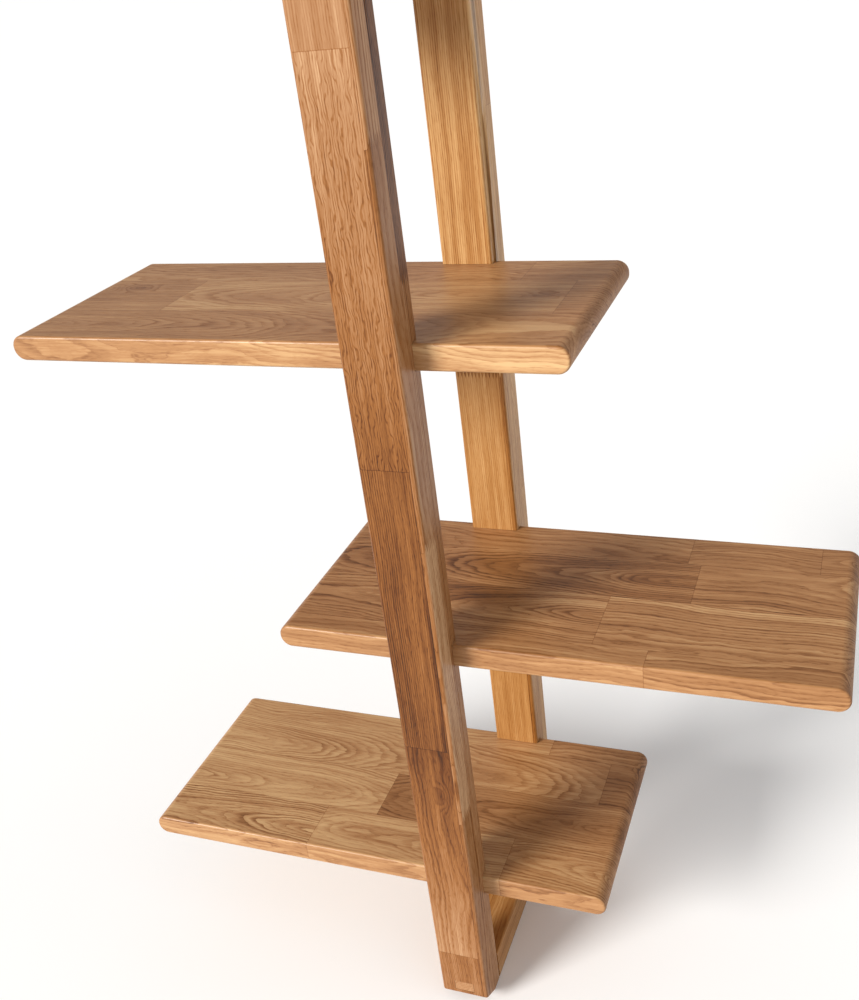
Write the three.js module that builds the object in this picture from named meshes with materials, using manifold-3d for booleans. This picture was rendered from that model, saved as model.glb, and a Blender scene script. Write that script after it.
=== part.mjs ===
// A ladder shelf in solid oak: two upright posts, one behind the other, closed by a bar at the foot
// and a bar at the head, with long shelves let into the posts and set off left and right in turn.
// Millimetres. +X is right, +Y goes back to the wall, +Z is up.
// The origin is on the floor, midway between the posts, in their middle plane.
import * as THREE from 'three';
import { mergeVertices } from 'three/addons/utils/BufferGeometryUtils.js';
import Module from 'manifold-3d';

const wasm = await Module();
wasm.setup();

// Driving dimensions.
const FRAME_HEIGHT = 1370;
const FRAME_DEPTH = 320;
const POST_WIDTH = 58;
const POST_DEPTH = 46;
const BAR_HEIGHT = 42;
const ARRIS = 3;
const TOE_HEIGHT = 16;
const TOE_DEPTH = 26;

const SHELF_LENGTH = 600;
const SHELF_THICKNESS = 27;
const SHELF_END_RADIUS = 13;
const SHELF_OFFSET = 124;
const SHELF_COUNT = 4;
const LOWEST_SHELF_TOP = 188;
const SHELF_PITCH = 333;
const HOUSING_DEPTH = 14;

const DOWEL_DIAMETER = 8;
const DOWEL_LENGTH = 40;
const DOWEL_SPACING = 32;
const DOWEL_IN_POST = 17;
const DOWEL_END_SPACE = 1;

const TENON_WIDTH = 24;
const TENON_THICKNESS = 14;
const TENON_IN_BAR = 40;
const TENON_CENTRE = 29;
const TENON_END_SPACE = 1;

const FIT_GAP = 0.3;
const CUT_MARGIN = 5;
const ROUND_STEPS = 5;
const END_ROUND_STEPS = 12;
const DOWEL_SIDES = 24;

// Places worked out from them.
const CLEAR_DEPTH = FRAME_DEPTH - 2 * POST_DEPTH;
const SHELF_DEPTH = CLEAR_DEPTH + 2 * HOUSING_DEPTH;
const POST_CENTRE_Y = (FRAME_DEPTH - POST_DEPTH) / 2;
const POST_INNER_Y = CLEAR_DEPTH / 2;
const shelfNumbers = Array.from({ length: SHELF_COUNT }, (_, index) => index + 1);
const shelfTop = (number) => LOWEST_SHELF_TOP + (number - 1) * SHELF_PITCH;
const shelfMiddle = (number) => shelfTop(number) - SHELF_THICKNESS / 2;
const shelfCentreX = (number) => (number % 2 === 1 ? -SHELF_OFFSET : SHELF_OFFSET);

// Sides of the frame: -1 is the front, +1 the back. Ends of the frame: the foot and the head.
const SIDES = [{ name: 'front', sign: -1 }, { name: 'back', sign: 1 }];
const ENDS = [{ name: 'foot', level: 0, sign: 1 }, { name: 'head', level: FRAME_HEIGHT, sign: -1 }];
const DOWEL_PLACES = [{ name: 'left', x: -DOWEL_SPACING / 2 }, { name: 'right', x: DOWEL_SPACING / 2 }];

// Solids.
function toSolid(geometry) {
  const bare = geometry.clone();
  bare.deleteAttribute('normal');
  bare.deleteAttribute('uv');
  const merged = mergeVertices(bare, 1e-4);
  return new wasm.Manifold(new wasm.Mesh({
    numProp: 3,
    vertProperties: new Float32Array(merged.attributes.position.array),
    triVerts: new Uint32Array(merged.index.array),
  }));
}

function toGeometry(solid) {
  const mesh = solid.getMesh();
  const geometry = new THREE.BufferGeometry();
  geometry.setAttribute('position', new THREE.BufferAttribute(new Float32Array(mesh.vertProperties), 3));
  geometry.setIndex(new THREE.BufferAttribute(new Uint32Array(mesh.triVerts), 1));
  geometry.computeVertexNormals();
  return geometry;
}

function roundedRectangle(width, height, radius) {
  const shape = new THREE.Shape();
  const x = width / 2 - radius;
  const y = height / 2 - radius;
  shape.absarc(x, y, radius, 0, Math.PI / 2);
  shape.absarc(-x, y, radius, Math.PI / 2, Math.PI);
  shape.absarc(-x, -y, radius, Math.PI, 1.5 * Math.PI);
  shape.absarc(x, -y, radius, 1.5 * Math.PI, 2 * Math.PI);
  return shape;
}

// A bar along Z, centred on the origin.
function bar(width, depth, length, radius, steps) {
  const shape = roundedRectangle(width, depth, radius);
  const geometry = new THREE.ExtrudeGeometry(shape, { depth: length, bevelEnabled: false, curveSegments: steps });
  return geometry.translate(0, 0, -length / 2);
}

function box(width, depth, height, x, y, z) {
  return toSolid(new THREE.BoxGeometry(width, depth, height).translate(x, y, z));
}

function dowelGeometry(diameter, length) {
  return new THREE.CylinderGeometry(diameter / 2, diameter / 2, length, DOWEL_SIDES);
}

// The wedge that takes the sharp corner off the outer lower edge of a post.
function toeWedge(sign) {
  const shape = new THREE.Shape();
  const slope = TOE_HEIGHT / TOE_DEPTH;
  shape.moveTo(-CUT_MARGIN, -CUT_MARGIN);
  shape.lineTo(TOE_DEPTH + CUT_MARGIN, -CUT_MARGIN);
  shape.lineTo(TOE_DEPTH + CUT_MARGIN, -CUT_MARGIN * slope);
  shape.lineTo(-CUT_MARGIN, TOE_HEIGHT + CUT_MARGIN * slope);
  shape.closePath();
  const width = POST_WIDTH + 2 * CUT_MARGIN;
  const geometry = new THREE.ExtrudeGeometry(shape, { depth: width, bevelEnabled: false });
  geometry.translate(0, 0, -width / 2);
  geometry.rotateX(Math.PI / 2);
  geometry.rotateZ(sign * -Math.PI / 2);
  return toSolid(geometry.translate(0, sign * FRAME_DEPTH / 2, 0));
}

// Y of the middle of a dowel, which crosses from the bottom of the housing into the shelf's edge.
function dowelCentreY(sign) {
  const housingBottom = POST_INNER_Y + HOUSING_DEPTH;
  return sign * (housingBottom + DOWEL_IN_POST - DOWEL_LENGTH / 2);
}

function dowelHole(number, sign, x) {
  const diameter = DOWEL_DIAMETER + 2 * FIT_GAP;
  const length = DOWEL_LENGTH + 2 * DOWEL_END_SPACE;
  const hole = dowelGeometry(diameter, length);
  return toSolid(hole.translate(x, dowelCentreY(sign), shelfMiddle(number)));
}

const tenonLength = POST_DEPTH + TENON_IN_BAR;
const tenonCentreY = (sign) => sign * (FRAME_DEPTH - tenonLength) / 2;
const tenonZ = (end) => end.level + end.sign * TENON_CENTRE;

function tenonMortise(sign, end) {
  const width = TENON_WIDTH + 2 * FIT_GAP;
  const height = TENON_THICKNESS + 2 * FIT_GAP;
  const innerY = FRAME_DEPTH / 2 - tenonLength - TENON_END_SPACE;
  const outerY = FRAME_DEPTH / 2 + CUT_MARGIN;
  return box(width, outerY - innerY, height, 0, sign * (innerY + outerY) / 2, tenonZ(end));
}

function postSolid(sign) {
  const blank = bar(POST_WIDTH, POST_DEPTH, FRAME_HEIGHT, ARRIS, ROUND_STEPS);
  let solid = toSolid(blank.translate(0, sign * POST_CENTRE_Y, FRAME_HEIGHT / 2));
  solid = solid.subtract(toeWedge(sign));
  for (const number of shelfNumbers) {
    const depth = HOUSING_DEPTH + FIT_GAP + CUT_MARGIN;
    const y = sign * (POST_INNER_Y - CUT_MARGIN + depth / 2);
    const height = SHELF_THICKNESS + 2 * FIT_GAP;
    solid = solid.subtract(box(POST_WIDTH + 2 * CUT_MARGIN, depth, height, 0, y, shelfMiddle(number)));
    for (const place of DOWEL_PLACES) {
      solid = solid.subtract(dowelHole(number, sign, place.x));
    }
  }
  for (const end of ENDS) {
    solid = solid.subtract(tenonMortise(sign, end));
  }
  return solid;
}

function barSolid(end) {
  const blank = bar(POST_WIDTH, BAR_HEIGHT, CLEAR_DEPTH - 2 * FIT_GAP, ARRIS, ROUND_STEPS);
  blank.rotateX(Math.PI / 2);
  let solid = toSolid(blank.translate(0, 0, end.level + end.sign * BAR_HEIGHT / 2));
  for (const side of SIDES) {
    solid = solid.subtract(tenonMortise(side.sign, end));
  }
  return solid;
}

// The plank is where two bars cross: one carries the round ends, the other the eased long edges.
function shelfSolid(number) {
  const alongDepth = bar(SHELF_LENGTH, SHELF_THICKNESS, SHELF_DEPTH, SHELF_END_RADIUS, END_ROUND_STEPS);
  alongDepth.rotateX(Math.PI / 2);
  const alongLength = bar(SHELF_THICKNESS, SHELF_DEPTH, SHELF_LENGTH, ARRIS, ROUND_STEPS);
  alongLength.rotateY(Math.PI / 2);
  const x = shelfCentreX(number);
  const z = shelfMiddle(number);
  let solid = toSolid(alongDepth.translate(x, 0, z));
  solid = solid.intersect(toSolid(alongLength.translate(x, 0, z)));
  for (const side of SIDES) {
    for (const place of DOWEL_PLACES) {
      solid = solid.subtract(dowelHole(number, side.sign, place.x));
    }
  }
  return solid;
}

// The scene graph.
const ladderShelf = new THREE.Group();

function addPiece(name, geometry, color, roughness) {
  const material = new THREE.MeshStandardMaterial({ color, roughness, metalness: 0 });
  const mesh = new THREE.Mesh(geometry, material);
  mesh.name = name;
  ladderShelf.add(mesh);
  return mesh;
}

const POST_OAK = 0xb9814d;
const SHELF_OAK = 0xc08d58;
const TENON_OAK = 0xc99a68;
const DOWEL_BEECH = 0xd8b48a;
const OILED = 0.5;
const BARE = 0.8;

for (const side of SIDES) {
  addPiece(`${side.name}_post`, toGeometry(postSolid(side.sign)), POST_OAK, OILED);
}

for (const end of ENDS) {
  addPiece(`${end.name}_bar`, toGeometry(barSolid(end)), POST_OAK, OILED);
  for (const side of SIDES) {
    const geometry = new THREE.BoxGeometry(TENON_WIDTH, tenonLength, TENON_THICKNESS);
    const tenon = addPiece(`${end.name}_tenon_${side.name}`, geometry, TENON_OAK, OILED);
    tenon.position.set(0, tenonCentreY(side.sign), tenonZ(end));
  }
}

for (const number of shelfNumbers) {
  addPiece(`shelf_${number}`, toGeometry(shelfSolid(number)), SHELF_OAK, OILED);
  for (const side of SIDES) {
    for (const place of DOWEL_PLACES) {
      const geometry = dowelGeometry(DOWEL_DIAMETER, DOWEL_LENGTH);
      const dowel = addPiece(`dowel_${number}_${side.name}_${place.name}`, geometry, DOWEL_BEECH, BARE);
      dowel.position.set(place.x, dowelCentreY(side.sign), shelfMiddle(number));
    }
  }
}

export default ladderShelf;
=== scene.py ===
"""The looks of a ladder shelf in oiled solid oak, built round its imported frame.

Two uprights stand one behind the other, closed by a rail at the foot and a rail at the head. Planks
are let into both uprights and set off left and right in turn. Every piece is glued up from staves, so
its faces carry the stave they belong to, and one oak shader draws each stave's rings, pores and tone.
"""
import math
import random

import bmesh
import bpy
from mathutils import Euler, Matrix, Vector


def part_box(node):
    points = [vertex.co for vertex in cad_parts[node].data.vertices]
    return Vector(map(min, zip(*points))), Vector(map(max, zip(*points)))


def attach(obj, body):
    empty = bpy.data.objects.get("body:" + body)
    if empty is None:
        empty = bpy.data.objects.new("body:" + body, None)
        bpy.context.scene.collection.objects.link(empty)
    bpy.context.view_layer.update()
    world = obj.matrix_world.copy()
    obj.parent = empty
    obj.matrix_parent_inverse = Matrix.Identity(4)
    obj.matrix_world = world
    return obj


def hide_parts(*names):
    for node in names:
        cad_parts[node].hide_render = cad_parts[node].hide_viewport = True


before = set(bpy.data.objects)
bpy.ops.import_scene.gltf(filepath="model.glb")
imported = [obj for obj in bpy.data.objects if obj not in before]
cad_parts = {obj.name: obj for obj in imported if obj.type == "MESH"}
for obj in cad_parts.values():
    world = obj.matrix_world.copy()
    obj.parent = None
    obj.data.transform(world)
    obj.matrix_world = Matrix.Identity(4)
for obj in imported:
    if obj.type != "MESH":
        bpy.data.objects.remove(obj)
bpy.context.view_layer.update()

MM = 0.001

# Where a stave has no glue line: it runs on to the outside of the piece.
FAR = 9999.0

# Joinery, in millimetres.
ARRIS = 3.0
ARRIS_STEPS = 4
FOOT_EASE = 2.4
FOOT_EASE_STEPS = 3
PLANK_END_RADIUS = 13.0
PLANK_END_STEPS = 12
HOUSING_DEPTH = 14.0
TOE_HEIGHT = 16.0
TOE_DEPTH = 26.0
TENON_EASE = 0.4
TENON_EASE_STEPS = 2
FIT_GAP = 0.3
HOLE_END_SPACE = 1.0
HOLE_SIDES = 24
SHARP_ANGLE = math.radians(40)

PLANKS = (1, 2, 3, 4)

# Levels this near, in millimetres, are one level, and a corner this near a cut, in metres, lies on it.
SAME_PLACE = 0.05
ON_PLANE = 1e-6

# An edge runs along an axis if it is this many times longer that way. Faces this near to flat are merged.
STRAIGHT_RATIO = 50
FLAT_ANGLE = math.radians(1)
FLAT_FACE_WEIGHT = 100

# How a post is glued up: a wide front stave with a narrow strip beside it, and a full-width back stave.
FRONT_LAYER = 26.0
STRIP_WIDTH = 5.5
FINGER_LENGTH = 11.0
FINGER_PITCH = 4.2

# Growth rings: their width and how far the pith lies under the face, in millimetres. Lean is how far the
# pith drops or strays in a millimetre along the fibres, and waver is how far from straight the rings run.
RING_WIDTH = 3.6
FLAT_SAWN_LEAN = 0.12
PITH_UNDER_FACE = 4.0
RIFT_UNDER_FACE = 62.0
UPRIGHT_RIFT_UNDER_FACE = 45.0
QUARTER_UNDER_FACE = 15.0
QUARTER_RING_WIDTH = 2.3
QUARTER_WAVER = 0.3

# Seeds of the random draws: where the rings of a piece's staves lie, and where its noise starts.
LAYOUT_SEEDS = {"shelf_1": 1, "shelf_2": 2, "shelf_3": 3, "shelf_4": 4, "front_post": 45, "back_post": 44}
GRAIN_SEEDS = {
    "shelf_1": 11, "shelf_2": 12, "shelf_3": 13, "shelf_4": 14,
    "front_post": 20, "back_post": 21, "foot_bar": 30, "head_bar": 31,
    "foot_tenon_front": 50, "foot_tenon_back": 51, "head_tenon_front": 52, "head_tenon_back": 53,
}
LARGEST_SEED = 90.0


# ---------------------------------------------------------------------------------------------
# Staves
# ---------------------------------------------------------------------------------------------

class Stave:
    """A length of oak in a glued-up piece: its corners, its tone, and where its growth rings run.

    Corners are in millimetres in the piece's grain frame: along the fibres, across and deep. The tone
    runs from 0, the darkest, to 1, and a pair of tones changes evenly between the ends that span names.
    A knot is its place along, its place across and its size. A size below 0 is a dark stain, which
    leaves the rings straight; the stain on plank 2 is partly the wood's own dark streak and partly painted
    shadow. Teeth are the axis that a finger joint's teeth are set along, 1 for across and 2 for deep, and
    where they start.
    """

    def __init__(self, low, high, tone, figure, contrast=1.0, flecks=0.3, knot=None, span=(0.0, 1.0),
                 edge_tone=0.0, teeth=None):
        first, last = tone if isinstance(tone, tuple) else (tone, tone)
        self.low = low
        self.high = high
        self.fade = (last - first) / (span[1] - span[0])
        self.tone = first - self.fade * span[0]
        self.figure = figure
        self.contrast = contrast
        self.flecks = flecks
        self.knot = knot or (FAR, FAR, 1.0)
        self.edge_tone = edge_tone
        self.teeth = teeth

    def holds(self, point):
        """Whether a point is in the stave, whose ends follow the teeth of their finger joints."""
        rise = tooth_rise(point[self.teeth[0]] - self.teeth[1]) if self.teeth else 0.0
        moved = (point[0] - rise, point[1], point[2])
        return all(a <= p <= b for a, p, b in zip(self.low, moved, self.high))


def tooth_rise(place):
    """How far a finger joint stands above its lowest line, at a place along its row of teeth."""
    half = FINGER_PITCH / 2
    return abs((place + half) % FINGER_PITCH - half) / half * FINGER_LENGTH


def cathedral(tip, open_end, line, face):
    """Rings of a flat-sawn stave: nested arches on that face, with their tips on the line.

    The first tip is the outermost. The arches open towards the other end, where the pith is nearest.
    """
    slant = math.copysign(FLAT_SAWN_LEAN, open_end - tip)
    pith = face - PITH_UNDER_FACE - slant * open_end
    return {"across": line, "deep": pith, "lean": (0.0, slant), "ring": RING_WIDTH, "waver": 1.0}


def rift(line, face, away, under=RIFT_UNDER_FACE, slope=0.0):
    """Rings of a rift-sawn stave: wavy lines that run with it, from a pith off to one side below."""
    pith = {"across": line + away, "deep": face - under}
    return {**pith, "lean": (slope, 0.0), "ring": RING_WIDTH, "waver": 1.0}


def quarter(line, face, away, slope=0.0):
    """Rings of a quarter-sawn stave: fine, nearly straight lines."""
    pith = {"across": line + away, "deep": face - QUARTER_UNDER_FACE}
    return {**pith, "lean": (slope, 0.0), "ring": QUARTER_RING_WIDTH, "waver": QUARTER_WAVER}


def corners(axes, values):
    """Takes a point from the grain frame, along, across and deep, to x, y and z."""
    point = [0.0, 0.0, 0.0]
    for axis, value in zip(axes, values):
        point["XYZ".index(axis)] = value
    return point


def slice_faces(bm, faces, point, normal):
    """Cuts those faces where a plane through the point, in millimetres, crosses them."""
    edges = {edge for face in faces for edge in face.edges}
    verts = {vert for face in faces for vert in face.verts}
    geom = list(faces) + list(edges) + list(verts)
    bmesh.ops.bisect_plane(bm, geom=geom, dist=ON_PLANE, plane_co=point * MM, plane_no=normal)


def cut(bm, axis, level, faces=None):
    """Cuts the mesh, or only those faces of it, across an axis at a level in millimetres."""
    normal = Vector(corners(axis, (1.0,)))
    slice_faces(bm, bm.faces[:] if faces is None else faces, normal * level, normal)


def cut_into_staves(bm, axes, staves, box):
    """Cuts the mesh along every glue line, so that each face belongs to one stave."""
    for index in (2, 1):
        for level in sorted({stave.low[index] for stave in staves}):
            if box[0][index] < level < box[1][index]:
                cut(bm, axes[index], level)
    for stave in staves:
        column = (stave.low[1:], stave.high[1:])
        for level in (stave.low[0], stave.high[0]):
            if box[0][0] < level < box[1][0]:
                cut(bm, axes[0], level, faces_in(bm, axes, (-FAR, *column[0]), (FAR, *column[1])))
        if stave.teeth and stave.high[0] < box[1][0]:
            cut_teeth(bm, axes, stave, box)


def faces_in(bm, axes, low, high):
    """The faces whose middle lies between two corners of the grain frame."""
    found = []
    for face in bm.faces:
        centre = face.calc_center_median() / MM
        values = [centre["XYZ".index(axis)] for axis in axes]
        if all(a < value < b for a, value, b in zip(low, values, high)):
            found.append(face)
    return found


def cut_teeth(bm, axes, stave, box):
    """Cuts the zigzag of the finger joint at a stave's upper end."""
    across, start = stave.teeth
    base = stave.high[0]
    tip = base + FINGER_LENGTH
    low = [base, *stave.low[1:]]
    high = [tip, *stave.high[1:]]
    cut(bm, axes[0], tip, faces_in(bm, axes, (-FAR, *low[1:]), (FAR, *high[1:])))
    half = FINGER_PITCH / 2
    first = math.floor((max(box[0][across], low[across]) - start) / half)
    last = math.ceil((min(box[1][across], high[across]) - start) / half)
    for count in range(first, last):
        cut(bm, axes[across], start + count * half, faces_in(bm, axes, low, high))
    for count in range(first, last):
        near_side = start + count * half
        low[across] = near_side
        high[across] = near_side + half
        rising = count % 2 == 0
        point = [0.0, 0.0, 0.0]
        point[0] = base if rising else tip
        point[across] = near_side
        normal = [0.0, 0.0, 0.0]
        normal[0] = half
        normal[across] = -FINGER_LENGTH if rising else FINGER_LENGTH
        point = Vector(corners(axes, point))
        normal = Vector(corners(axes, normal)).normalized()
        slice_faces(bm, faces_in(bm, axes, low, high), point, normal)


LOOK_LAYERS = ("pith", "lean", "look", "tone", "knot", "teeth", "stave_low", "stave_high")


def write_staves(mesh, axes, staves, rng):
    """Stores on every face the rings, tone and glue lines of the stave that it belongs to."""
    seeds = {id(stave): rng.uniform(0.0, LARGEST_SEED) for stave in staves}
    values = {name: [] for name in LOOK_LAYERS}
    for polygon in mesh.polygons:
        centre = [polygon.center["XYZ".index(axis)] / MM for axis in axes]
        stave = next((s for s in staves if s.holds(centre)), staves[0])
        figure = stave.figure
        values["pith"].append((seeds[id(stave)], figure["across"], figure["deep"]))
        values["lean"].append((figure["lean"][0], figure["lean"][1], figure["ring"]))
        values["look"].append((stave.contrast, stave.flecks, figure["waver"]))
        values["tone"].append((stave.tone, stave.fade, stave.edge_tone))
        values["knot"].append(stave.knot)
        toothed_axis, start = stave.teeth or (1, 0.0)
        values["teeth"].append((toothed_axis - 1, start, 1.0 if stave.teeth else 0.0))
        values["stave_low"].append(stave.low)
        values["stave_high"].append(stave.high)
    for name, rows in values.items():
        layer = mesh.attributes.new(name, "FLOAT_VECTOR", "FACE")
        layer.data.foreach_set("vector", [number for row in rows for number in row])


# ---------------------------------------------------------------------------------------------
# Shaping
# ---------------------------------------------------------------------------------------------

def block(low, high):
    """A rectangular blank between two corners, in metres."""
    bm = bmesh.new()
    bmesh.ops.create_cube(bm, size=1.0)
    bmesh.ops.scale(bm, vec=high - low, verts=bm.verts)
    bmesh.ops.translate(bm, vec=(high + low) / 2, verts=bm.verts)
    return bm


def round_edges(bm, edges, width, steps):
    bmesh.ops.bevel(bm, geom=edges, offset=width * MM, offset_type="OFFSET", affect="EDGES",
                    segments=steps, profile=0.5, material=-1, clamp_overlap=True)


def edges_along(bm, axis, test):
    """The edges that run along an axis and whose middle passes the test."""
    index = "XYZ".index(axis)
    found = []
    for edge in bm.edges:
        start, end = (vert.co for vert in edge.verts)
        span = end - start
        others = [abs(span[i]) for i in range(3) if i != index]
        if abs(span[index]) > max(others) * STRAIGHT_RATIO and test((start + end) / 2):
            found.append(edge)
    return found


def merge_flat_faces(bm):
    bmesh.ops.dissolve_limit(bm, angle_limit=FLAT_ANGLE, verts=bm.verts, edges=bm.edges)


def near(a, b):
    return abs(a - b) < SAME_PLACE * MM


def bored(bm, holes):
    """Bores the holes, a list of closed meshes, out of the blank and gives the new mesh data."""
    piece = object_from(bm, "blank")
    for number, hole in enumerate(holes):
        cutter = object_from(hole, f"cutter_{number}")
        boolean = piece.modifiers.new(f"bore_{number}", "BOOLEAN")
        boolean.operation = "DIFFERENCE"
        boolean.solver = "EXACT"
        boolean.object = cutter
    bpy.context.view_layer.update()
    evaluated = piece.evaluated_get(bpy.context.evaluated_depsgraph_get())
    bored_bm = bmesh.new()
    bored_bm.from_mesh(evaluated.to_mesh())
    evaluated.to_mesh_clear()
    for modifier in list(piece.modifiers):
        bpy.data.objects.remove(modifier.object)
    bpy.data.objects.remove(piece)
    return bored_bm


def object_from(bm, name):
    mesh = bpy.data.meshes.new(name)
    bm.to_mesh(mesh)
    bm.free()
    piece = bpy.data.objects.new(name, mesh)
    bpy.context.scene.collection.objects.link(piece)
    return piece


def grown(node, across, along):
    """A node's box with room all round it, and more room at its two ends, which lie along Y."""
    low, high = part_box(node)
    room = Vector((across, along, across)) * MM
    return low - room, high + room


def mortise(node):
    return block(*grown(node, FIT_GAP, HOLE_END_SPACE))


def dowel_hole(node):
    low, high = grown(node, FIT_GAP, HOLE_END_SPACE)
    radius = (high.x - low.x) / 2
    bm = bmesh.new()
    bmesh.ops.create_cone(bm, cap_ends=True, segments=HOLE_SIDES, radius1=radius, radius2=radius,
                          depth=high.y - low.y)
    turn = Euler((math.pi / 2, 0, 0)).to_matrix()
    bmesh.ops.rotate(bm, cent=(0, 0, 0), matrix=turn, verts=bm.verts)
    bmesh.ops.translate(bm, vec=(low + high) / 2, verts=bm.verts)
    return bm


def holes_in(node):
    """The mortises and dowel holes that reach into a node."""
    low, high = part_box(node)
    holes = []
    for other in sorted(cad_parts):
        if "tenon" not in other and "dowel" not in other:
            continue
        other_low, other_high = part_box(other)
        if all(a < d and c < b for a, b, c, d in zip(low, high, other_low, other_high)):
            holes.append(mortise(other) if "tenon" in other else dowel_hole(other))
    return holes


def finish_piece(bm, name, axes, staves, node, material):
    """Lays the staves on a shaped piece, smooths its rounded edges and puts it in the frame."""
    low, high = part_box(node)
    box = [[corner["XYZ".index(axis)] / MM for axis in axes] for corner in (low, high)]
    cut_into_staves(bm, axes, staves, box)
    for face in bm.faces:
        face.smooth = True
    for edge in bm.edges:
        edge.smooth = edge.calc_face_angle(0.0) < SHARP_ANGLE
    piece = object_from(bm, name)
    write_staves(piece.data, axes, staves, random.Random(GRAIN_SEEDS[node]))
    piece.data.materials.append(material)
    normals = piece.modifiers.new("even_normals", "WEIGHTED_NORMAL")
    normals.keep_sharp = True
    normals.weight = FLAT_FACE_WEIGHT
    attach(piece, "root")
    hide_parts(node)
    return piece


# ---------------------------------------------------------------------------------------------
# Planks
# ---------------------------------------------------------------------------------------------

PLANK_LENGTH = 600.0
PLANK_DEPTH = 256.0
PLANK_FLECKS = 0.25

# A rift-sawn stave's pith lies this far off to one side, and its rings run out of line by up to this.
PLANK_PITH_AWAY = (22, 60)
PLANK_SLOPE = 0.04

# Each plank's rows of staves from its back edge: where the row ends, and its staves from the left as
# (right end, tone, figure, contrast). A figure is (tip, line, way it points), or None for rift-sawn.
PLANK_ROWS = {
    1: [
        (33, [(474, 0.78, None, 0.7), (600, 0.58, None, 1.2)]),
        (110, [(559, (0.84, 0.69), (480, 85, 1), 0.9), (600, 0.56, None, 1.2)]),
        (188, [(288, 0.80, (65, 165, 1), 1.0), (600, (0.54, 0.63), (350, 150, -1), 1.2)]),
        (256, [(220, 0.80, (118, 236, -1), 1.8), (473, 0.79, (330, 226, -1), 0.9),
               (600, 0.75, (500, 222, -1), 1.3)]),
    ],
    2: [
        (58, [(418, 0.60, None, 0.9), (560, 0.60, None, 1.0), (600, 0.58, (585, 30, -1), 0.9)]),
        (137, [(433, 0.55, (200, 99, -1), 1.35), (600, 0.66, None, 1.3)]),
        (227, [(347, 0.66, (195, 178, -1), 1.3), (600, 0.68, None, 1.5)]),
        (256, [(405, 0.64, None, 1.0), (600, 0.65, None, 1.1)]),
    ],
    3: [
        (70, [(501, 0.66, None, 0.9), (600, 0.66, None, 0.8)]),
        (172, [(130, 0.62, (50, 96, 1), 0.8), (562, 0.74, (240, 122, -1), 0.7), (600, 0.68, None, 0.9)]),
        (256, [(600, (0.60, 0.70), (336, 214, 1), 0.9)]),
    ],
    4: [
        (62, [(215, 0.64, None, 0.9), (600, 0.72, (430, 30, 1), 1.1)]),
        (138, [(372, 0.76, (140, 100, -1), 1.1), (600, 0.62, None, 1.2)]),
        (206, [(148, 0.60, None, 1.0), (486, 0.68, None, 1.2), (600, 0.74, None, 0.9)]),
        (256, [(310, 0.70, None, 1.0), (600, 0.64, (455, 232, -1), 1.2)]),
    ],
}

# What is added to the tone on a plank's long edges.
PLANK_EDGE_TONES = {1: -0.09, 2: 0.01, 3: 0.10, 4: 0.05}

# Knots by plank, row and stave: the place from the plank's left end and from its back edge, and the
# size. The stain of size below 0 on plank 2, right of the front upright, is partly the wood's own dark
# streak and partly painted shadow.
PLANK_KNOTS_AND_PAINTED_SHADOW = {
    (1, 3, 1): (530, 149, 4.0),
    (2, 3, 0): (205, 158, -21.0),
    (3, 2, 0): (55, 96, 10.0),
    (3, 2, 1): (545, 116, 9.0),
}


def plank_staves(number, node):
    """The staves of one plank, in the piece's own millimetres."""
    low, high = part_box(node)
    left = low.x / MM
    back = high.y / MM
    top = high.z / MM
    rng = random.Random(LAYOUT_SEEDS[node])
    edge_tone = PLANK_EDGE_TONES[number]
    staves = []
    row_start = 0
    for row_number, (row_end, row) in enumerate(PLANK_ROWS[number], start=1):
        start = 0
        middle = back - (row_start + row_end) / 2
        front_side = back - row_end if row_end < PLANK_DEPTH else -FAR
        back_side = back - row_start if row_start else FAR
        for place, (end, tone, figure, contrast) in enumerate(row):
            if figure is None:
                away = rng.choice((-1, 1)) * rng.uniform(*PLANK_PITH_AWAY)
                rings = rift(middle, top, away, slope=rng.uniform(-PLANK_SLOPE, PLANK_SLOPE))
            else:
                tip, line, points = figure
                open_end = start if points > 0 else end
                rings = cathedral(left + tip, left + open_end, back - line, top)
            knot = PLANK_KNOTS_AND_PAINTED_SHADOW.get((number, row_number, place))
            if knot:
                knot = (left + knot[0], back - knot[1], knot[2])
            stave_low = (left + start if start else -FAR, front_side, -FAR)
            stave_high = (left + end if end < PLANK_LENGTH else FAR, back_side, FAR)
            span = (left + start, left + end)
            stave = Stave(stave_low, stave_high, tone, rings, contrast, PLANK_FLECKS, knot, span, edge_tone)
            staves.append(stave)
            start = end
        row_start = row_end
    return staves


def plank(number, material):
    """A stave panel with full round short ends and eased long edges."""
    node = f"shelf_{number}"
    low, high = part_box(node)
    bm = block(low, high)
    ends = edges_along(bm, "Y", lambda middle: True)
    round_edges(bm, ends, PLANK_END_RADIUS, PLANK_END_STEPS)
    outline = [edge for edge in bm.edges if all(near(vert.co.y, low.y) for vert in edge.verts)]
    outline += [edge for edge in bm.edges if all(near(vert.co.y, high.y) for vert in edge.verts)]
    round_edges(bm, outline, ARRIS, ARRIS_STEPS)
    bm = bored(bm, holes_in(node))
    staves = plank_staves(number, node)
    return finish_piece(bm, f"plank_{number}", "XYZ", staves, node, material)
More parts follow.
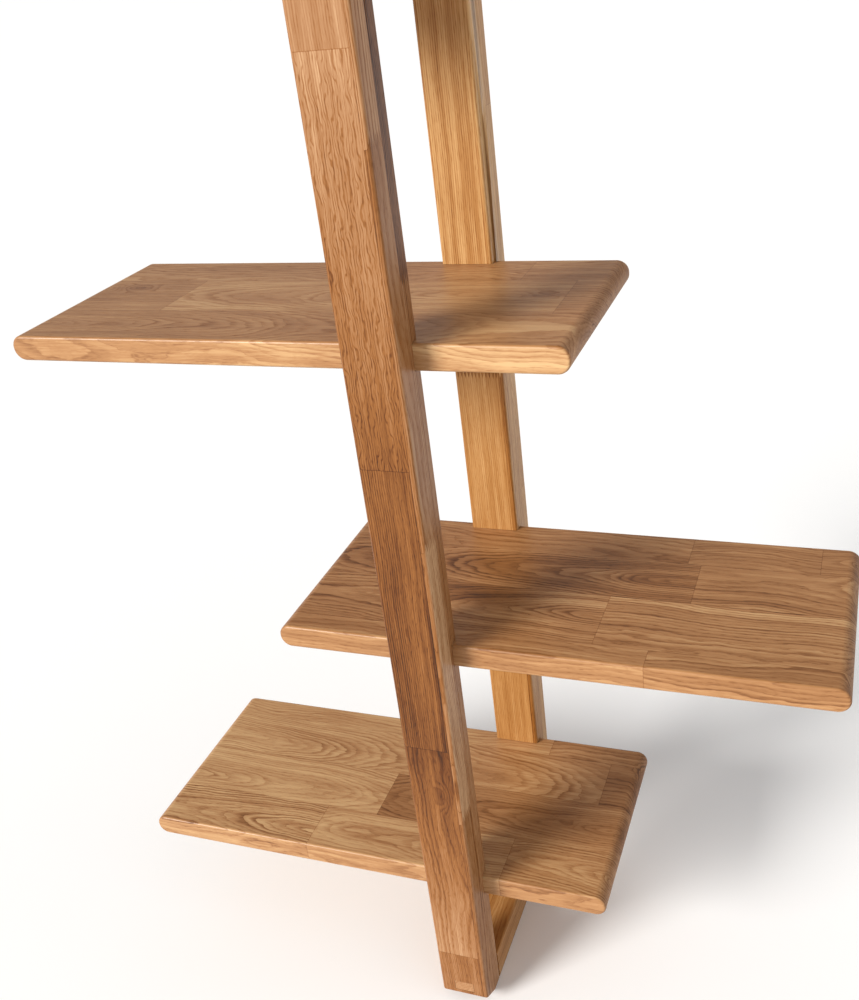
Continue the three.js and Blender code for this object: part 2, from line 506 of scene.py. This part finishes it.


# ---------------------------------------------------------------------------------------------
# Uprights
# ---------------------------------------------------------------------------------------------

# Staves of each upright from the floor up, as (top end, tone, contrast, flecks, sawn). The strip's side
# tones are added on the side of the upright, one for each of its staves, and lift that side partly as the
# strip's own tone and partly as painted light.
UPRIGHT_CORE = {
    "front": [(84, 0.48, 0.9, 0.7, "quarter"), (403, (0.66, 0.23), 0.8, 0.6, "rift"),
              (739, (0.29, 0.38), 1.1, 0.6, "quarter"), (1110, (0.39, 0.72), 0.7, 1.5, "quarter"),
              (FAR, 0.63, 0.7, 0.4, "quarter")],
    # In the back upright the stave from 721 to 838, just under the plank housed above it, is darker as
    # painted shade.
    "back": [(330, 0.69, 0.7, 0.3, "quarter"), (721, (0.68, 0.71), 0.7, 0.3, "quarter"),
             (838, 0.46, 0.7, 0.3, "quarter"), (FAR, 0.75, 1.2, 0.2, "quarter")],
}
UPRIGHT_STRIP = {
    "front": [(300, 0.48, 1.2, 0.5, "quarter"), (651, 0.50, 1.2, 0.5, "rift"),
              (1032, (0.52, 0.42), 1.2, 0.5, "quarter"), (FAR, 0.70, 1.1, 0.4, "quarter")],
    "back": [(721, (0.38, 0.44), 1.1, 0.4, "quarter"), (FAR, 0.76, 1.1, 0.3, "quarter")],
}
# Lifts on the strip's side faces: partly the strip's own tone, partly painted light on that shaded side.
STRIP_SIDE_TONES_AND_PAINTED_LIGHT = {
    "front": (0.07, 0.31, 0.12, -0.06),
    "back": (0.31, 0.13),
}
UPRIGHT_INNER = {
    "front": [(455, 0.64, 1.2, 0.4, "rift"), (909, 0.58, 1.2, 0.4, "quarter"),
              (FAR, 0.28, 1.2, 0.3, "rift")],
    "back": [(560, 0.80, 0.9, 0.3, "quarter"), (1010, 0.80, 0.9, 0.3, "rift"),
             (FAR, 0.76, 0.9, 0.3, "quarter")],
}

# Knots by side and the top end of their stave.
UPRIGHT_KNOTS = {("front", 403): (337.0, 8.0, 7.0)}

# The pith lies this far off to one side, or half of it in rift-sawn staves.
UPRIGHT_PITH_AWAY = (70, 110)
UPRIGHT_SLOPE = 0.02


def upright_staves(side, node):
    """Three columns of staves: the wide front one, the strip at its right and the one behind them."""
    low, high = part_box(node)
    outer = low.y / MM
    seam = outer + FRONT_LAYER
    strip = high.x / MM - STRIP_WIDTH
    columns = [
        (UPRIGHT_CORE[side], (-FAR, strip), (-FAR, seam), len(UPRIGHT_CORE[side]) * (0.0,)),
        (UPRIGHT_STRIP[side], (strip, FAR), (-FAR, seam), STRIP_SIDE_TONES_AND_PAINTED_LIGHT[side]),
        (UPRIGHT_INNER[side], (-FAR, FAR), (seam, FAR), len(UPRIGHT_INNER[side]) * (0.0,)),
    ]
    teeth = (2, outer) if side == "front" else (1, low.x / MM)
    rng = random.Random(LAYOUT_SEEDS[node])
    staves = []
    for column, across, deep, edge_tones in columns:
        start = -FAR
        for (end, tone, contrast, flecks, sawn), edge_tone in zip(column, edge_tones):
            away = rng.choice((-1, 1)) * rng.uniform(*UPRIGHT_PITH_AWAY)
            slope = rng.uniform(-UPRIGHT_SLOPE, UPRIGHT_SLOPE)
            if sawn == "quarter":
                rings = quarter(0.0, outer, away, slope)
            else:
                rings = rift(0.0, outer, away / 2, UPRIGHT_RIFT_UNDER_FACE, slope)
            knot = UPRIGHT_KNOTS.get((side, end))
            span = (max(start, 0.0), min(end, high.z / MM))
            corner = (start, across[0], deep[0])
            opposite = (end, across[1], deep[1])
            stave = Stave(corner, opposite, tone, rings, contrast, flecks, knot, span, edge_tone, teeth)
            staves.append(stave)
            start = end
    return staves


def upright(side, material):
    """A post with a housing for each plank, a mortise at each end and an eased toe."""
    node = f"{side}_post"
    low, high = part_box(node)
    outward = -1 if side == "front" else 1
    outer_y, inner_y = (low.y, high.y) if side == "front" else (high.y, low.y)
    core_y = inner_y + outward * HOUSING_DEPTH * MM
    core_low = Vector((low.x, min(outer_y, core_y), low.z))
    core_high = Vector((high.x, max(outer_y, core_y), high.z))
    bm = block(core_low, core_high)
    raise_lands(bm, core_y, inner_y)
    merge_flat_faces(bm)
    long_edges = edges_along(bm, "Z", lambda middle: near(middle.y, outer_y) or near(middle.y, inner_y))
    round_edges(bm, long_edges, ARRIS, ARRIS_STEPS)
    ease_toe(bm, outer_y, outward)
    bm = bored(bm, holes_in(node))
    staves = upright_staves(side, node)
    return finish_piece(bm, f"{side}_upright", "ZXY", staves, node, material)


def raise_lands(bm, core_y, inner_y):
    """Raises a post's inner face to its full depth everywhere but in the housings."""
    housings = []
    for number in PLANKS:
        plank_low, plank_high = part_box(f"shelf_{number}")
        housings.append((plank_low.z / MM - FIT_GAP, plank_high.z / MM + FIT_GAP))
    for bottom, top in housings:
        cut(bm, "Z", bottom)
        cut(bm, "Z", top)
    lands = []
    for face in bm.faces:
        centre = face.calc_center_median()
        housed = any(bottom < centre.z / MM < top for bottom, top in housings)
        if near(centre.y, core_y) and not housed:
            lands.append(face)
    raised = bmesh.ops.extrude_face_region(bm, geom=lands)["geom"]
    raised_verts = [item for item in raised if isinstance(item, bmesh.types.BMVert)]
    bmesh.ops.translate(bm, vec=(0, inner_y - core_y, 0), verts=raised_verts)


def ease_toe(bm, outer_y, outward):
    """Planes the outer lower edge of a post off at a slant and eases the edges of its foot."""
    normal = Vector((0, outward * TOE_HEIGHT, -TOE_DEPTH)).normalized()
    point = Vector((0, outer_y, TOE_HEIGHT * MM))
    geom = bm.verts[:] + bm.edges[:] + bm.faces[:]
    planed = bmesh.ops.bisect_plane(bm, geom=geom, dist=ON_PLANE, plane_co=point, plane_no=normal,
                                    clear_outer=True)
    rim = [item for item in planed["geom_cut"] if isinstance(item, bmesh.types.BMEdge)]
    bmesh.ops.contextual_create(bm, geom=rim)
    foot = [edge for edge in bm.edges if edge in rim or all(near(vert.co.z, 0.0) for vert in edge.verts)]
    round_edges(bm, foot, FOOT_EASE, FOOT_EASE_STEPS)


# ---------------------------------------------------------------------------------------------
# Rails and tenons
# ---------------------------------------------------------------------------------------------

# Tone, contrast of the grain, and how far off to one side the pith lies.
RAIL_LOOK = (0.66, 0.9, 70.0)
TENON_LOOK = (0.80, 0.5, 40.0)


def whole_piece(look, face):
    """The one stave of a piece that isn't glued up."""
    tone, contrast, away = look
    rings = rift(0.0, face, away)
    return [Stave((-FAR, -FAR, -FAR), (FAR, FAR, FAR), tone, rings, contrast)]


def rail(end, material):
    """A bar between the uprights, with a mortise at each end for its loose tenon."""
    node = f"{end}_bar"
    low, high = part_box(node)
    bm = block(low, high)
    round_edges(bm, edges_along(bm, "Y", lambda middle: True), ARRIS, ARRIS_STEPS)
    bm = bored(bm, holes_in(node))
    staves = whole_piece(RAIL_LOOK, high.z / MM)
    return finish_piece(bm, f"{end}_rail", "YXZ", staves, node, material)


def loose_tenon(end, side, material):
    """A tenon that runs through the upright into the rail, with its end trimmed flush."""
    node = f"{end}_tenon_{side}"
    low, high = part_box(node)
    bm = block(low, high)
    round_edges(bm, bm.edges[:], TENON_EASE, TENON_EASE_STEPS)
    staves = whole_piece(TENON_LOOK, high.z / MM)
    return finish_piece(bm, f"{end}_{side}_tenon", "YXZ", staves, node, material)


# ---------------------------------------------------------------------------------------------
# Materials
# ---------------------------------------------------------------------------------------------

class Number:
    """A socket in a material. Arithmetic on it adds Math nodes."""

    def __init__(self, shader, socket):
        self.shader = shader
        self.socket = socket

    def math(self, operation, *others):
        """A Math node that takes this socket first."""
        return self.shader.math(operation, self, *others)

    def __add__(self, other):
        return self.shader.math("ADD", self, other)

    def __radd__(self, other):
        return self.shader.math("ADD", other, self)

    def __sub__(self, other):
        return self.shader.math("SUBTRACT", self, other)

    def __rsub__(self, other):
        return self.shader.math("SUBTRACT", other, self)

    def __mul__(self, other):
        return self.shader.math("MULTIPLY", self, other)

    def __rmul__(self, other):
        return self.shader.math("MULTIPLY", other, self)

    def __truediv__(self, other):
        return self.shader.math("DIVIDE", self, other)


class Shader:
    """The nodes of one material."""

    def __init__(self, name):
        self.material = bpy.data.materials.new(name)
        self.material.use_nodes = True
        self.tree = self.material.node_tree
        self.tree.nodes.clear()

    def node(self, kind, settings=None, inputs=None, output=0):
        """Adds a node, with its settings first and then the values or links of its sockets."""
        made = self.tree.nodes.new(kind)
        for name, value in (settings or {}).items():
            if name == "stops":
                fill_ramp(made.color_ramp, value)
            else:
                setattr(made, name, value)
        for name, value in (inputs or {}).items():
            if isinstance(value, Number):
                self.tree.links.new(value.socket, made.inputs[name])
            else:
                made.inputs[name].default_value = value
        return Number(self, made.outputs[output])

    def math(self, operation, *values):
        return self.node("ShaderNodeMath", {"operation": operation}, dict(enumerate(values)))

    def parts(self, vector):
        return [self.node("ShaderNodeSeparateXYZ", None, {0: vector}, axis) for axis in "XYZ"]

    def joined(self, x, y, z):
        return self.node("ShaderNodeCombineXYZ", None, {0: x, 1: y, 2: z})

    def face_value(self, name):
        settings = {"attribute_type": "GEOMETRY", "attribute_name": name}
        return self.node("ShaderNodeAttribute", settings, None, "Vector")

    def noise(self, vector, detail=2.0, roughness=0.5, output="Fac"):
        inputs = {"Vector": vector, "Scale": 1.0, "Detail": detail, "Roughness": roughness}
        return self.node("ShaderNodeTexNoise", {"noise_dimensions": "3D"}, inputs, output)

    def step(self, value, start, end):
        """Rises smoothly from 0 to 1 between start and end."""
        settings = {"interpolation_type": "SMOOTHSTEP"}
        return self.node("ShaderNodeMapRange", settings, {"Value": value, 1: start, 2: end, 3: 0.0, 4: 1.0})

    def colour(self, stops, value):
        return self.node("ShaderNodeValToRGB", {"stops": stops}, {0: value}, "Color")

    def surface(self, inputs):
        """Ends the material in a Principled shader."""
        bsdf = self.node("ShaderNodeBsdfPrincipled", None, inputs)
        end = self.tree.nodes.new("ShaderNodeOutputMaterial")
        self.tree.links.new(bsdf.socket, end.inputs["Surface"])
        return self.material


def fill_ramp(ramp, stops):
    while len(ramp.elements) < len(stops):
        ramp.elements.new(0.5)
    for element, (position, colour) in zip(ramp.elements, stops):
        element.position = position
        element.color = (*colour, 1.0)


def smallest(first, *others):
    for other in others:
        first = first.math("MINIMUM", other)
    return first


# Oak from its darkest pores to its palest sapwood.
PLANK_TONES = [
    (0.00, (0.024, 0.008, 0.002)),
    (0.25, (0.105, 0.034, 0.007)),
    (0.50, (0.235, 0.094, 0.026)),
    (0.75, (0.385, 0.190, 0.074)),
    (1.00, (0.580, 0.360, 0.170)),
]
FRONT_UPRIGHT_TONES = [
    (0.00, (0.024, 0.007, 0.001)),
    (0.25, (0.105, 0.029, 0.003)),
    (0.50, (0.245, 0.092, 0.021)),
    (0.75, (0.370, 0.190, 0.086)),
    (1.00, (0.560, 0.350, 0.190)),
]
BACK_UPRIGHT_TONES = [
    (0.00, (0.024, 0.007, 0.001)),
    (0.25, (0.105, 0.029, 0.003)),
    (0.50, (0.250, 0.092, 0.017)),
    (0.75, (0.395, 0.188, 0.057)),
    (1.00, (0.580, 0.350, 0.150)),
]

# Features of the wood as (length along the fibres, width, fineness, shift), in millimetres. The shift
# keeps two of them from following each other.
RIPPLES = (34.0, 9.0, 2.0, 0.0)
HAIRS = (45.0, 1.6, 3.0, 3.0)
STREAKS = (210.0, 8.0, 2.0, 5.0)
PORES = (10.0, 0.8, 1.0, 7.0)
CLOUDS = (120.0, 45.0, 2.0, 9.0)
RAY_SWAY = (24.0, 8.5, 2.0, 11.0)
RAY_DASHES = (17.0, 3.0, 1.0, 13.0)

# How far the pith and the rings stray, in millimetres, where they waver most.
WANDER_LENGTH = 150
WANDER_WIDTH = 160
WANDER_ACROSS = 24
WANDER_DEEP = 30
RIPPLE_HEIGHT = 4.5
YEARS_PER_SPELL = 3.5

# Early wood starts and fades out within a ring, from 0 to 1, and a ring has some of it even in a poor year.
EARLY_FADE = (0.02, 0.62)
EARLY_START = (0.90, 1.0)
FAINTEST_RING = 0.25
RING_RANGE = 0.95
PORE_EDGE = (0.50, 0.66)
PORES_IN_LATE_WOOD = 0.2

# A knot is drawn out along the fibres, bends the rings round it and fades with distance, in its own sizes.
KNOT_STRETCH = 2.2
KNOT_BEND = 1.4
KNOT_FADE = 1.9

# Rays lie side by side at a pitch, sway along the stave, lean a little and break up into dashes.
RAY_PITCH = 3.1
RAY_SWAY_ROWS = 4
RAY_LEAN = 0.05
RAY_EDGE = (0.02, 0.27)
RAY_BREAKS = (0.30, 0.50)

# What each feature takes off the tone, or how far it lets the tone drift.
RING_SHADE = 0.20
SPELL_SHADE = 0.34
PORE_SHADE = 0.12
RAY_SHADE = 0.15
END_GRAIN_SHADE = 0.14
GLUE_SHADE = 0.18
KNOT_SHADE = 0.16
# A stain darkens more the larger it is: partly the wood's own stain, partly painted shadow.
STAIN_AND_PAINTED_SHADOW = 0.009
HAIR_DRIFT = 0.30
STREAK_DRIFT = 0.30
CLOUD_DRIFT = 0.22
EVEN_OUT = 0.09

# Glue lines fade out between these distances, and end grain and long edges set in between these slopes.
GLUE_EDGE = (0.15, 0.55)
END_GRAIN_SLOPE = (0.25, 0.95)
LONG_EDGE_SLOPE = (0.5, 0.95)

# The oil's satin, which open pores, early wood and end grain drink up.
OIL_IOR = 1.5
PLANK_GLOSS = 0.42
UPRIGHT_GLOSS = 0.25
OIL_ROUGHNESS = 0.37
PORE_ROUGHNESS = 0.12
RING_ROUGHNESS = 0.05
END_GRAIN_ROUGHNESS = 0.14

# How deep each feature sinks into the face, from 0 to 1 of the depth of a pore.
PORE_DEPTH = 0.12 * MM
BUMP_STRENGTH = 0.35
PORE_HOLLOW = 0.7
RING_HOLLOW = 0.25
RAY_HOLLOW = 0.3
GLUE_HOLLOW = 0.5


class Grain:
    """A point of a piece in its grain frame, in millimetres, and what its stave stores there."""

    def __init__(self, s, axes):
        self.s = s
        place = s.parts(s.node("ShaderNodeTexCoord", None, None, "Object"))
        normal = s.parts(s.node("ShaderNodeNewGeometry", None, None, "Normal"))
        self.along, self.across, self.deep = [place["XYZ".index(axis)] * (1 / MM) for axis in axes]
        self.facing = [normal["XYZ".index(axis)].math("ABSOLUTE") for axis in axes]
        self.seed, self.pith_across, self.pith_deep = s.parts(s.face_value("pith"))
        self.lean_across, self.lean_deep, self.ring_width = s.parts(s.face_value("lean"))
        self.contrast, self.flecks, self.waver = s.parts(s.face_value("look"))
        self.tone, self.fade, self.edge_tone = s.parts(s.face_value("tone"))

    def fibres(self, feature, slant=0.0):
        """Noise drawn out along the fibres."""
        length, width, fineness, shift = feature
        sideways = self.across + self.along * slant if slant else self.across
        x = self.along / length + self.seed + shift
        y = sideways / width + self.seed
        return self.s.noise(self.s.joined(x, y, self.deep / width), fineness)


def knot_marks(grain):
    """How far the stave's knot bends the rings here, and how much it darkens them, a stain partly as painted
    shadow.
    """
    s = grain.s
    knot_along, knot_across, size = s.parts(s.face_value("knot"))
    turn = size.math("MAXIMUM", 0.0)
    reach = size.math("ABSOLUTE")
    x = (grain.along - knot_along) / (reach * KNOT_STRETCH)
    y = (grain.across - knot_across) / reach
    distance = (x * x + y * y).math("SQRT")
    knot = 1 - s.step(distance, 0.0, KNOT_FADE)
    return knot * turn * KNOT_BEND, knot * (KNOT_SHADE + (reach - turn) * STAIN_AND_PAINTED_SHADOW)


def growth_rings(grain, bend):
    """Rings round a pith that wanders: the early wood, how dark it is, and spells of good and poor years."""
    s = grain.s
    wide = s.joined(grain.along / WANDER_LENGTH + grain.seed, grain.across / WANDER_WIDTH,
                    grain.deep / WANDER_WIDTH)
    wander = s.parts(s.noise(wide, detail=1.0, roughness=0.4, output="Color"))
    ripple = (grain.fibres(RIPPLES) - 0.5) * grain.waver * RIPPLE_HEIGHT
    side = grain.across - grain.pith_across - grain.lean_across * grain.along
    side = side + (wander[0] - 0.5) * grain.waver * WANDER_ACROSS
    depth = grain.deep - grain.pith_deep - grain.lean_deep * grain.along
    depth = depth + (wander[1] - 0.5) * grain.waver * WANDER_DEEP
    radius = (side * side + depth * depth).math("SQRT") + ripple + bend
    year = radius / grain.ring_width
    season = year.math("FRACT")
    strength = s.node("ShaderNodeTexWhiteNoise", {"noise_dimensions": "1D"},
                      {"W": year.math("FLOOR") + grain.seed}, "Value")
    early = (1 - s.step(season, *EARLY_FADE)) + s.step(season, *EARLY_START)
    rings = early * (FAINTEST_RING + strength * strength * RING_RANGE)
    spells = s.node("ShaderNodeTexNoise", {"noise_dimensions": "1D"},
                    {"W": year / YEARS_PER_SPELL + grain.seed, "Scale": 1.0}) - 0.5
    return early, rings, spells


def ray_marks(grain):
    """Rays, which show on quarter-sawn faces as wavy broken lines."""
    s = grain.s
    row = grain.across / RAY_PITCH + (grain.fibres(RAY_SWAY, RAY_LEAN) - 0.5) * RAY_SWAY_ROWS
    dash = s.step(grain.fibres(RAY_DASHES), *RAY_BREAKS)
    return (1 - s.step(row.math("PINGPONG", 0.5), *RAY_EDGE)) * dash * grain.flecks


def glue_lines(grain):
    """The stave's edges, and its ends, which follow the teeth of a finger joint."""
    s = grain.s
    low = s.parts(s.face_value("stave_low"))
    high = s.parts(s.face_value("stave_high"))
    teeth_deep, teeth_start, toothed = s.parts(s.face_value("teeth"))
    half = FINGER_PITCH / 2
    tooth_place = grain.across + (grain.deep - grain.across) * teeth_deep - teeth_start
    joint = grain.along - tooth_place.math("PINGPONG", half) * toothed * (FINGER_LENGTH / half)
    row_facing = grain.facing[1] + (grain.facing[2] - grain.facing[1]) * teeth_deep
    narrow = 1 - toothed * (1 - row_facing) * (1 - half / FINGER_LENGTH)
    end_gap = smallest(joint - low[0], high[0] - joint) * narrow
    gap = smallest(end_gap, grain.across - low[1], high[1] - grain.across, grain.deep - low[2],
                   high[2] - grain.deep)
    return 1 - s.step(gap, *GLUE_EDGE)


def oiled_oak(name, axes, tones, gloss):
    """Oiled oak whose rings, pores, rays and glue lines follow each stave of the piece."""
    s = Shader(name)
    grain = Grain(s, axes)
    bend, knot_and_painted_shadow = knot_marks(grain)
    early, rings, spells = growth_rings(grain, bend)
    rays = ray_marks(grain)
    glue = glue_lines(grain)
    pores = s.step(grain.fibres(PORES), *PORE_EDGE) * (PORES_IN_LATE_WOOD + early)

    # Fibres cut across, at the ends and round the noses, soak up more oil; the long edges differ by piece.
    end_grain = s.step(grain.facing[0], *END_GRAIN_SLOPE)
    long_edge = s.step(grain.facing[1], *LONG_EDGE_SLOPE)

    hair = grain.fibres(HAIRS) - 0.5
    streaks = grain.fibres(STREAKS) - 0.5
    clouds = grain.fibres(CLOUDS) - 0.5
    drift = hair * HAIR_DRIFT + streaks * STREAK_DRIFT + clouds * CLOUD_DRIFT
    figure = rings * RING_SHADE + spells * SPELL_SHADE + pores * PORE_SHADE
    # The knot marks carry the stain on plank 2, which is partly painted shadow.
    marks = rays * RAY_SHADE + end_grain * END_GRAIN_SHADE + glue * GLUE_SHADE + knot_and_painted_shadow
    # On the uprights' strips the long-edge tone lifts the side faces, partly as painted light.
    tone = grain.tone + grain.fade * grain.along + EVEN_OUT + long_edge * grain.edge_tone
    colour = s.colour(tones, tone + drift - figure * grain.contrast - marks)
    height = 1 - pores * PORE_HOLLOW - rings * RING_HOLLOW - rays * RAY_HOLLOW - glue * GLUE_HOLLOW
    bump = s.node("ShaderNodeBump", None,
                  {"Strength": BUMP_STRENGTH, "Distance": PORE_DEPTH, "Height": height}, "Normal")
    dullness = pores * PORE_ROUGHNESS + rings * RING_ROUGHNESS + end_grain * END_GRAIN_ROUGHNESS
    roughness = OIL_ROUGHNESS + dullness
    return s.surface({"Base Color": colour, "Roughness": roughness, "Normal": bump, "IOR": OIL_IOR,
                      "Specular IOR Level": gloss})


# Beech is finer: features per metre along the dowel and across it.
BEECH_STOPS = [(0.0, (0.36, 0.20, 0.10)), (1.0, (0.74, 0.52, 0.30))]
BEECH_GRAIN = (45, 900)
BEECH_FLECKS = (300, 1400)
BEECH_FLECK_EDGE = (0.60, 0.68)
BEECH_FLECK_SHADE = 0.25
BEECH_FLECK_ROUGHNESS = 0.1
BEECH_ROUGHNESS = 0.7


def bare_beech():
    """Plain beech dowel stock: fine even grain along the dowel and small dark flecks."""
    s = Shader("dowel_beech")
    x, y, z = s.parts(s.node("ShaderNodeTexCoord", None, None, "Object"))
    along, across = BEECH_GRAIN
    grain = s.noise(s.joined(x * across, y * along, z * across), 3.0)
    along, across = BEECH_FLECKS
    flecks = s.step(s.noise(s.joined(x * across, y * along, z * across), 1.0), *BEECH_FLECK_EDGE)
    colour = s.colour(BEECH_STOPS, grain - flecks * BEECH_FLECK_SHADE)
    return s.surface({"Base Color": colour, "Roughness": BEECH_ROUGHNESS + flecks * BEECH_FLECK_ROUGHNESS})


# ---------------------------------------------------------------------------------------------
# Stage, light and camera
# ---------------------------------------------------------------------------------------------

FLOOR_HALF_WIDTH = 150.0
FLOOR_WHITE = (0.94, 0.95, 0.96, 1.0)
FLOOR_ROUGHNESS = 0.9
FLOOR_GLOSS = 0.1

SKY_WHITE = (1.0, 1.0, 1.0, 1.0)
SKY_STRENGTH = 0.43
BACKDROP_STRENGTH = 1.0

KEY_STRENGTH = 4.6
KEY_COLOUR = (1.0, 0.965, 0.92)
KEY_SOFTNESS = math.radians(24)
KEY_ELEVATION = math.radians(24)
KEY_FROM_LEFT = math.radians(36)

FILL_STRENGTH = 0.50
FILL_COLOUR = (1.0, 0.99, 0.98)
FILL_SOFTNESS = math.radians(70)
FILL_ELEVATION = math.radians(35)
FILL_FROM_RIGHT = math.radians(75)

CAMERA_PLACE = (0.4185, -1.0106, 1.1945)
CAMERA_HEADING = math.radians(22.25)
CAMERA_PITCH = math.radians(-27.34)
CAMERA_ROLL = math.radians(-6.83)
CAMERA_LENS = 40.30
CAMERA_SENSOR = 36.0
CAMERA_SHIFT = (-0.0296, -0.0055)


def floor():
    bm = bmesh.new()
    bmesh.ops.create_grid(bm, x_segments=1, y_segments=1, size=FLOOR_HALF_WIDTH)
    ground = object_from(bm, "floor")
    s = Shader("pale_floor")
    matt = s.surface({"Base Color": FLOOR_WHITE, "Roughness": FLOOR_ROUGHNESS,
                      "Specular IOR Level": FLOOR_GLOSS})
    ground.data.materials.append(matt)


def sun(name, strength, colour, softness, elevation, heading):
    """A distant lamp: heading is how far to the left of straight ahead it stands, seen from the front."""
    light = bpy.data.lights.new(name, "SUN")
    light.energy = strength
    light.color = colour
    light.angle = softness
    lamp = bpy.data.objects.new(name, light)
    lamp.rotation_euler = Euler((math.pi / 2 - elevation, 0.0, -heading))
    bpy.context.scene.collection.objects.link(lamp)


def soft_light():
    """An even white surround, one broad low light from the front left and a faint one from the right."""
    world = bpy.data.worlds.new("studio")
    world.use_nodes = True
    nodes = world.node_tree.nodes
    background = nodes["Background"]
    background.inputs["Color"].default_value = SKY_WHITE
    seen = nodes.new("ShaderNodeLightPath")
    strength = nodes.new("ShaderNodeMapRange")
    strength.inputs["To Min"].default_value = SKY_STRENGTH
    strength.inputs["To Max"].default_value = BACKDROP_STRENGTH
    world.node_tree.links.new(seen.outputs["Is Camera Ray"], strength.inputs["Value"])
    world.node_tree.links.new(strength.outputs["Result"], background.inputs["Strength"])
    bpy.context.scene.world = world
    sun("key", KEY_STRENGTH, KEY_COLOUR, KEY_SOFTNESS, KEY_ELEVATION, KEY_FROM_LEFT)
    sun("fill", FILL_STRENGTH, FILL_COLOUR, FILL_SOFTNESS, FILL_ELEVATION, -FILL_FROM_RIGHT)


def camera():
    """Stands close in front and to the right, a little below the top, and looks down to the left."""
    lens = bpy.data.cameras.new("camera")
    lens.sensor_width = CAMERA_SENSOR
    lens.lens = CAMERA_LENS
    lens.shift_x, lens.shift_y = CAMERA_SHIFT
    lens.clip_end = 4 * FLOOR_HALF_WIDTH
    view = bpy.data.objects.new("camera", lens)
    turn = Euler((math.pi / 2 + CAMERA_PITCH, 0.0, CAMERA_HEADING)).to_matrix()
    roll = Euler((0.0, 0.0, CAMERA_ROLL)).to_matrix()
    view.matrix_world = (turn @ roll).to_4x4()
    view.location = CAMERA_PLACE
    bpy.context.scene.collection.objects.link(view)
    bpy.context.scene.camera = view


# ---------------------------------------------------------------------------------------------
# The object
# ---------------------------------------------------------------------------------------------

def build():
    plank_oak = oiled_oak("plank_oak", "XYZ", PLANK_TONES, PLANK_GLOSS)
    front_oak = oiled_oak("front_upright_oak", "ZXY", FRONT_UPRIGHT_TONES, UPRIGHT_GLOSS)
    back_oak = oiled_oak("back_upright_oak", "ZXY", BACK_UPRIGHT_TONES, UPRIGHT_GLOSS)
    rail_oak = oiled_oak("rail_oak", "YXZ", BACK_UPRIGHT_TONES, UPRIGHT_GLOSS)
    tenon_oak = oiled_oak("tenon_oak", "YXZ", FRONT_UPRIGHT_TONES, UPRIGHT_GLOSS)
    beech = bare_beech()
    for number in PLANKS:
        plank(number, plank_oak)
    upright("front", front_oak)
    upright("back", back_oak)
    for end in ("foot", "head"):
        rail(end, rail_oak)
        for side in ("front", "back"):
            loose_tenon(end, side, tenon_oak)
    for name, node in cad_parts.items():
        if name.startswith("dowel_"):
            node.data.materials.clear()
            node.data.materials.append(beech)


camera()
soft_light()
floor()
build()
bpy.context.scene.view_settings.view_transform = "Standard"
